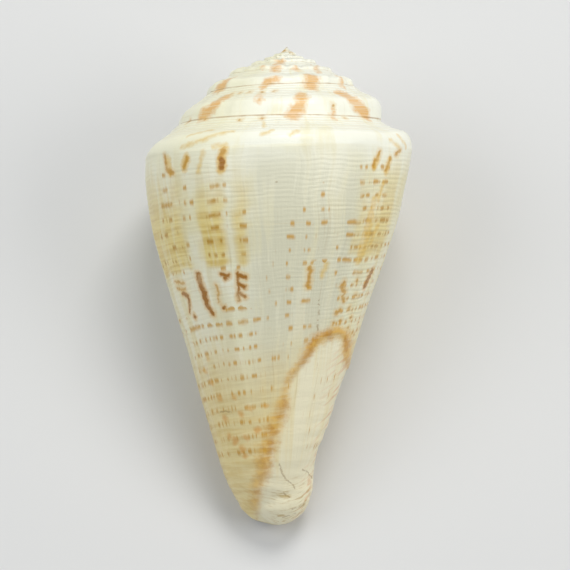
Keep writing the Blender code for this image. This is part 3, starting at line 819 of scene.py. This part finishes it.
    # rows of short dashes
    drift = t.math('MULTIPLY_ADD', mottle, 0.5, t.math('MULTIPLY', cloud, 0.9))
    row_at = t.math('DIVIDE', t.math('ADD', t.math('SUBTRACT', depth, 34.0 + 0.7), drift), 1.74)
    index = t.math('ROUND', row_at)
    off = t.math('MULTIPLY', t.math('ABSOLUTE', t.math('SUBTRACT', row_at, index)), 1.74)
    seg = t.noise(t.xyz(t.math('MULTIPLY', k, 112.0), t.math('MULTIPLY', index, 7.31), 3.0), 1, 1, 0.5)
    away = t.ease(t.math('COSINE', t.math('MULTIPLY_ADD', k, 2 * math.pi, -0.356 * 2 * math.pi)), 0.05, -0.30)
    bands = t.noise(t.xyz(t.math('MULTIPLY', k, 21.0), t.math('MULTIPLY', depth, 0.03), 31.0), 1, 1, 0.5)
    hidden_dash = t.math('MULTIPLY', away, t.math('MULTIPLY', t.ease(bands, 0.44, 0.58), t.math('MULTIPLY', t.ease(depth, 17.5, 20.0), t.ease(depth, 58.0, 52.0, 0.0, 0.85))))
    dense = t.math('MAXIMUM', dash_here, hidden_dash)
    have = t.ease(t.math('MULTIPLY_ADD', dense, 0.35, seg), 0.77, 0.86)
    thick = t.math('MULTIPLY_ADD', seg, 0.55, 0.10)
    dashes = t.math('MULTIPLY', have, t.ease(off, t.math('MULTIPLY', thick, 1.25), 0.0))
    dashes = t.math('MULTIPLY', dashes, t.ease(mottle, 0.30, 0.56, 0.38, 0.86))
    colour = t.mix(dashes, colour, t.mix(tanf, paint(206, 156, 62), paint(186, 138, 34)))

    # the break itself: an orange-brown band with ragged edges
    gritty = t.noise(at, 1.6, 3, 0.7)
    rag = t.math('MULTIPLY_ADD', mottle, 1.0, t.math('MULTIPLY_ADD', gritty, 1.2, -1.10))
    sd = t.math('ABSOLUTE', t.math('MULTIPLY_ADD', rag, scar_width, scar))
    band = t.ease(t.math('DIVIDE', sd, scar_width), 1.45, 0.0)
    band = t.math('MULTIPLY', band, scar_dense)
    band = t.math('MULTIPLY', band, t.ease(spiral, 0.30, 0.52, 0.60, 1.0))
    colour = t.mix(t.math('MULTIPLY', band, 0.95), colour, t.mix(t.ease(mottle, 0.42, 0.62), paint(202, 144, 44), paint(226, 178, 80)))

    # the drawn marks, with uneven edges
    warp = t.noise(at, 1.15, 2, 0.6, out='Color')
    warp = t.vec('SUBTRACT', warp, (0.5, 0.5, 0.5))
    p = t.vec('ADD', at, t.vec('SCALE', warp, scale=0.75))
    thin = t.ease(mottle, 0.30, 0.55, 0.62, 1.0)
    comb = t.ease(t.noise(t.xyz(t.math('MULTIPLY', k, 5.0), t.math('MULTIPLY', v, 150.0), 21.0), 1, 2, 0.6), 0.30, 0.60, 0.50, 1.0)
    flame, _ = strokes(t, t.vec('ADD', at, t.vec('SCALE', warp, scale=1.5)), FLAME, on_shell, soft=0.75)
    colour = t.mix(t.math('MULTIPLY', flame, t.math('MULTIPLY', comb, 0.84)), colour, paint(230, 170, 74))
    ochre, _ = strokes(t, p, OCHRE, on_shell, soft=0.46)
    colour = t.mix(t.math('MULTIPLY', ochre, t.math('MULTIPLY', thin, 0.62)), colour, t.mix(low, paint(230, 192, 90), paint(220, 156, 66)))
    brown, stain = strokes(t, p, BROWN, on_shell, soft=0.26)
    colour = t.mix(t.math('MULTIPLY', stain, 0.34), colour, paint(228, 186, 96))
    colour = t.mix(t.math('MULTIPLY', brown, t.math('MULTIPLY', thin, 0.82)), colour, paint(200, 146, 40))
    dark, stain_dark = strokes(t, p, DARK, on_shell, soft=0.24)
    colour = t.mix(t.math('MULTIPLY', stain_dark, 0.52), colour, paint(224, 174, 84))
    colour = t.mix(t.math('MULTIPLY', dark, t.math('MULTIPLY', thin, 0.94)), colour, paint(164, 106, 14))
    crack, _ = strokes(t, p, CRACK, on_shell, soft=0.12)
    colour = t.mix(t.math('MULTIPLY', crack, 0.46), colour, paint(150, 116, 58))

    # blotches of the side that the photograph hides
    blot = t.noise(t.xyz(t.math('MULTIPLY', k, 30.0), t.math('MULTIPLY', depth, 0.30), 12.0), 1, 3, 0.65)
    on_band = t.math('MAXIMUM', t.math('MULTIPLY', t.ease(depth, 28.5, 30.5), t.ease(depth, 38.0, 34.0)), t.math('MULTIPLY', spire, 0.85))
    fire = t.noise(t.xyz(t.math('MULTIPLY_ADD', v, 14.0, t.math('MULTIPLY', k, 15.0)), t.math('MULTIPLY', v, 3.0), 17.0), 1, 3, 0.6)
    blots = t.math('MAXIMUM', t.math('MULTIPLY', t.ease(blot, 0.60, 0.66), on_band), t.math('MULTIPLY', t.math('MULTIPLY', t.ease(fire, 0.53, 0.61), comb), t.math('MULTIPLY', spire, t.ease(k, 0.9, 1.05, 0.45, 1.0))))
    hidden = t.math('MULTIPLY', away, t.math('MULTIPLY', blots, t.math('MULTIPLY_ADD', spire, -0.17, 0.75)))
    colour = t.mix(hidden, colour, t.mix(spire, paint(166, 106, 36), paint(228, 176, 88)))

    on_ramp = t.ease(v, 0.165, 0.150)
    stria = t.math('SINE', t.math('MULTIPLY_ADD', v, 2 * math.pi * 6.5 / 0.15, t.math('MULTIPLY', mottle, 3.5)))
    colour = t.mix(t.math('MULTIPLY', t.ease(stria, 0.2, 0.9, 0.0, 0.22), on_ramp), colour, paint(214, 190, 132))

    # brown stain and painted shade in the sutures
    seam = t.math('MAXIMUM', t.ease(v, t.math('MULTIPLY', t.ease(mottle, 0.3, 0.7, 0.4, 1.0), 0.013), 0.002),
                  t.math('MULTIPLY', t.ease(v, 0.2445, 0.2490), t.math('MULTIPLY', t.ease(k, 0.99, 1.0), t.ease(v, 0.2504, 0.2496))))
    seam_stain_and_shade = t.math('MULTIPLY', t.math('MULTIPLY', suture_stain_and_shade, seam), t.ease(mottle, 0.25, 0.6, 0.55, 1.0))
    colour = t.mix(t.math('MULTIPLY', seam_stain_and_shade, 0.88), colour, paint(170, 124, 58))

    # glazed inside: white with a trace of cream, browner at its edge
    inner = t.mix(t.ease(cloud, 0.35, 0.65), paint(248, 243, 232), paint(240, 228, 208))
    colour = t.mix(inside, colour, inner)

    t.put(bsdf.inputs['Base Color'], colour)
    rough = t.math('ADD', t.math('MULTIPLY_ADD', mottle, 0.16, 0.25), t.math('MULTIPLY', t.ease(spiral, 0.4, 0.8), 0.08))
    t.put(bsdf.inputs['Roughness'], rough)
    bsdf.inputs['IOR'].default_value = 1.53
    bsdf.inputs['Specular IOR Level'].default_value = 0.32
    bsdf.inputs['Coat Weight'].default_value = 0.09
    bsdf.inputs['Coat Roughness'].default_value = 0.16
    bsdf.inputs['Subsurface Weight'].default_value = 0.0

    # what is too fine for the mesh: growth lines, threads between the ridges, pits
    threads = t.noise(t.xyz(t.math('MULTIPLY', k, 30.0), t.math('MULTIPLY', depth, 4.2), 6.0), 1, 2, 0.5)
    pits = t.noise(at, 3.0, 3, 0.6)
    high = t.math('MULTIPLY', axial_fine, 0.55)
    high = t.math('MULTIPLY_ADD', threads, 0.40, high)
    high = t.math('MULTIPLY_ADD', pits, 0.26, high)
    high = t.math('MULTIPLY_ADD', t.math('MULTIPLY', stria, on_ramp), 0.42, high)
    high = t.math('MULTIPLY', high, t.math('SUBTRACT', 1.0, t.math('MULTIPLY', inside, 0.85)))
    bump = t.node('ShaderNodeBump')
    t.put(bump.inputs['Strength'], 0.65)
    t.put(bump.inputs['Distance'], 0.00011)
    t.put(bump.inputs['Height'], high)
    t.put(bsdf.inputs['Normal'], bump.outputs[0])
    return mat


# ------------------------------------------------------------ build the shell
def near_table(points, values, queries):
    """Value of the nearest of points for each query, and how far it is."""
    tree = kdtree.KDTree(len(points))
    for i, q in enumerate(points.tolist()):
        tree.insert(q, i)
    tree.balance()
    index = np.empty(len(queries), dtype=np.int64)
    dist = np.empty(len(queries))
    for i, q in enumerate(queries.tolist()):
        _, j, d = tree.find(q)
        index[i], dist[i] = j, d
    return values[index], dist


def build_shell():
    co, faces, uvs, info = fine_outside(PLACED)
    me = mesh_from("shell_skin", co, faces, uvs)
    outward(me)
    piece = bpy.data.objects.new("shell_skin", me)
    bpy.context.scene.collection.objects.link(piece)

    # growth coordinates of every vertex, for the fields below
    ids = info['ids']
    kk = np.zeros(len(co))
    vv = np.zeros(len(co))
    for j in range(ids.shape[0] - 1, 0, -1):
        ok = ids[j] >= 0
        kk[ids[j][ok]] = info['K'][j][ok]
        vv[ids[j][ok]] = info['V'][j]
    on_side = vv > info['V'][info['ring'] - 1] - 1e-6

    cut_me = fine_hollow(PLACED)
    outward(cut_me)
    cutter = bpy.data.objects.new("hollow_tool", cut_me)
    box_me = bpy.data.meshes.new("floor_tool")
    bm = bmesh.new()
    bmesh.ops.create_cube(bm, size=1.0)
    bmesh.ops.transform(bm, verts=bm.verts[:], matrix=Matrix.Translation((0, 0, -0.01)) @ Matrix.Diagonal((0.2, 0.2, 0.02, 1)))
    bm.to_mesh(box_me)
    bm.free()
    box = bpy.data.objects.new("floor_tool", box_me)
    for slot in range(2):
        blank = bpy.data.materials.new("slot%d" % slot)
        for d in (me, cut_me, box_me):
            d.materials.append(blank)
    cut_me.polygons.foreach_set("material_index", np.ones(len(cut_me.polygons), dtype=np.int32))
    for tool in (cutter, box):
        bpy.context.scene.collection.objects.link(tool)
        mod = piece.modifiers.new(tool.name, 'BOOLEAN')
        mod.operation = 'DIFFERENCE'
        mod.solver = SOLVER
        mod.object = tool
        if SOLVER == 'EXACT':
            mod.material_mode = 'INDEX'
    deps = bpy.context.evaluated_depsgraph_get()
    done = bpy.data.meshes.new_from_object(piece.evaluated_get(deps))
    piece.modifiers.clear()
    piece.data = done
    for tool in (cutter, box):
        data = tool.data
        bpy.data.objects.remove(tool, do_unlink=True)
        bpy.data.meshes.remove(data)
    me = done
    me = piece.data
    n = len(me.vertices)
    now = np.empty(n * 3)
    me.vertices.foreach_get("co", now)
    now = now.reshape(-1, 3)
    index, dist = near_table(co, np.arange(len(co)), now)
    kv, pv, side_v = kk[index], vv[index], on_side[index]

    # fields of colour
    depth = pv * LENGTH
    tan = np.zeros(n)
    kt = kv + 0.004 * noise(kv * 20, depth / 2.2, 51) + 0.004 * noise(kv * 50, depth / 0.9, 52)
    for lo, hi, a in TAN:
        tan = np.maximum(tan, a * ease(lo - 0.008, lo + 0.008, kt) * (1 - ease(hi - 0.008, hi + 0.008, kt)))
    tan *= np.clip(0.42 + 0.55 * ease(20, 25.5, depth), 0, 1) * ease(16.5, 22.0, depth) * (1 - ease(29.7, 30.6, depth + 0.4 * noise(kv * 60, 0 * kv, 53))) * side_v * (kv < 1.2)
    px = in_photo(now)
    faces_photo = side_v & (kv > 0.10) & (kv < 0.63) & (dist < 0.0004)
    sd = np.where(faces_photo, scar_distance(px), -4.0)
    edge = np.interp(px[:, 1], SCAR[5:, 1], SCAR[5:, 0])
    pale = ease(-6, 8, px[:, 0] - edge) * ease(334, 345, px[:, 1])
    pale *= np.where(px[:, 0] > 347, ease(354, 372, px[:, 1]), 1.0)
    pale = np.where(faces_photo, pale, 0.0)
    pale = np.maximum(pale, side_v * (kv >= 0.60) * (1 - ease(0.66, 0.78, kv)) * ease(38, 44, depth))
    # brown stain and painted shade along the sutures, with orange spots at the ramp's inner edge
    suture_stain_and_shade = np.zeros(n)
    on_ramp = pv < 0.15
    suture_stain_and_shade = np.maximum(suture_stain_and_shade, on_ramp * (1 - ease(0.0, 0.016, pv)))
    spots = on_ramp * (1 - ease(0.0, 0.020, pv)) * ease(0.30, 0.60, noise(kv * 64, 0 * kv + 2, 61))
    nearly = (kv > 0.999) & (np.abs(pv - info['V'][info['ring'] - 1]) < 1e-4)
    suture_stain_and_shade = np.maximum(suture_stain_and_shade, 1.0 * nearly)
    suture_stain_and_shade *= (1 - 0.55 * ease(1.8, 3.4, kv)) * (0.66 + 0.34 * noise(kv * 55, 0 * kv, 54))
    suture_stain_and_shade = np.clip(np.maximum(suture_stain_and_shade, 0.9 * spots * (1 - 0.5 * ease(2.2, 4.0, kv))), 0, 1)
    inside = (dist > 0.00028).astype(float)

    zone = np.stack([tan, pale, suture_stain_and_shade, np.ones(n)], axis=1)
    dash = np.zeros(n)
    for x0, x1, y0, y1, a in DASHES:
        dash = np.maximum(dash, a * ease(x0 - 2, x0 + 1.5, px[:, 0]) * (1 - ease(x1 - 1.5, x1 + 2, px[:, 0]))
                          * ease(y0 - 3, y0 + 3, px[:, 1]) * (1 - ease(y1 - 3, y1 + 3, px[:, 1])))
    dash *= faces_photo
    wide = np.interp(px[:, 1], (334, 345, 356, 372, 390, 402, 430, 462, 478, 500, 512), (0.98, 0.96, 0.74, 0.62, 0.66, 0.95, 1.25, 1.35, 1.1, 0.9, 0.6))
    thick = np.interp(px[:, 1], (334, 345, 356, 372, 390, 402, 430, 462, 478, 500, 512), (1.0, 1.0, 0.85, 0.62, 0.60, 0.82, 0.95, 0.85, 0.65, 0.75, 0.3))
    more = np.stack([wide, dash, thick, np.ones(n)], axis=1)
    for name, data in (("zone", zone), ("more", more)):
        layer = me.attributes.new(name, 'FLOAT_COLOR', 'POINT')
        layer.data.foreach_set("color", data.astype(np.float32).ravel())
    for name, data in (("scar", sd), ("inside", inside)):
        layer = me.attributes.new(name, 'FLOAT', 'POINT')
        layer.data.foreach_set("value", data.astype(np.float32))

    # where a pixel of the photograph lies on the shell, in mm
    normals = np.empty(n * 3)
    me.vertices.foreach_get("normal", normals)
    facing = (normals.reshape(-1, 3) @ np.array(CAM_BACK) > 0.02) & (dist < 0.0004)
    seen, seen_px = now[facing] * 1000, px[facing]

    def on_shell(x, y):
        d = np.hypot(seen_px[:, 0] - x, seen_px[:, 1] - y)
        near = np.argsort(d)[:8]
        near = near[seen[near, 2] > seen[near, 2].max() - 2.0]
        w = 1 / (d[near] + 0.15)
        return (seen[near] * w[:, None]).sum(axis=0) / w.sum()

    me.materials.clear()
    me.materials.append(shell_material(on_shell))
    me.polygons.foreach_set("material_index", np.zeros(len(me.polygons), dtype=np.int32))
    me.shade_smooth()
    me.set_sharp_from_angle(angle=math.radians(55))
    return piece


SOLVER = 'MANIFOLD'
TAN = ((0.12, 0.213, 1.0), (0.241, 0.278, 1.0), (0.292, 0.308, 0.8), (0.452, 0.475, 0.5), (0.482, 0.54, 0.72),
       (0.63, 0.72, 0.9), (0.80, 0.88, 0.8), (0.93, 0.96, 0.6))

shell = build_shell()
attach(shell, "root")
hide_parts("shell")

# ------------------------------------------------------------ floor, light, camera
floor_me = bpy.data.meshes.new("floor")
floor_me.from_pydata([(-1.6, -1.6, 0), (1.6, -1.6, 0), (1.6, 1.6, 0), (-1.6, 1.6, 0)], [], [(0, 1, 2, 3)])
floor = bpy.data.objects.new("floor", floor_me)
bpy.context.scene.collection.objects.link(floor)
floor_mat = bpy.data.materials.new("floor")
floor_mat.use_nodes = True
fb = floor_mat.node_tree.nodes["Principled BSDF"]
fb.inputs["Base Color"].default_value = (0.72, 0.72, 0.71, 1)
fb.inputs["Roughness"].default_value = 0.85
floor_me.materials.append(floor_mat)


def area(name, at, aim, size, power, colour=(1, 1, 1)):
    data = bpy.data.lights.new(name, 'AREA')
    data.shape = 'RECTANGLE'
    data.size, data.size_y = size
    data.energy = power
    data.color = colour
    ob = bpy.data.objects.new(name, data)
    ob.location = at
    ob.rotation_euler = (Vector(aim) - Vector(at)).to_track_quat('-Z', 'Y').to_euler()
    bpy.context.scene.collection.objects.link(ob)
    return ob


area("key", (0.12, 0.40, 0.56), (0, 0.005, 0.015), (0.30, 0.24), 2.2, (1.0, 0.99, 0.965))
area("fill", (-0.44, 0.02, 0.46), (0, 0, 0.01), (0.45, 0.35), 1.15, (0.97, 0.985, 1.0))
area("side", (0.46, -0.06, 0.42), (0, 0, 0.01), (0.35, 0.30), 1.15, (1.0, 0.985, 0.96))

world = bpy.data.worlds.new("studio")
bpy.context.scene.world = world
world.use_nodes = True
world.node_tree.nodes["Background"].inputs[0].default_value = (0.86, 0.90, 0.95, 1)
world.node_tree.nodes["Background"].inputs[1].default_value = 0.36

cam_data = bpy.data.cameras.new("camera")
cam_data.lens = LENS
cam_data.sensor_width = SENSOR
cam_data.clip_start = 0.01
cam_data.clip_end = 10
cam = bpy.data.objects.new("camera", cam_data)
rot = Matrix((CAM_RIGHT, CAM_UP, CAM_BACK)).transposed().to_4x4()
cam.matrix_world = Matrix.Translation(CAM_AT) @ rot
bpy.context.scene.collection.objects.link(cam)
bpy.context.scene.camera = cam
bpy.context.scene.view_settings.view_transform = 'Standard'
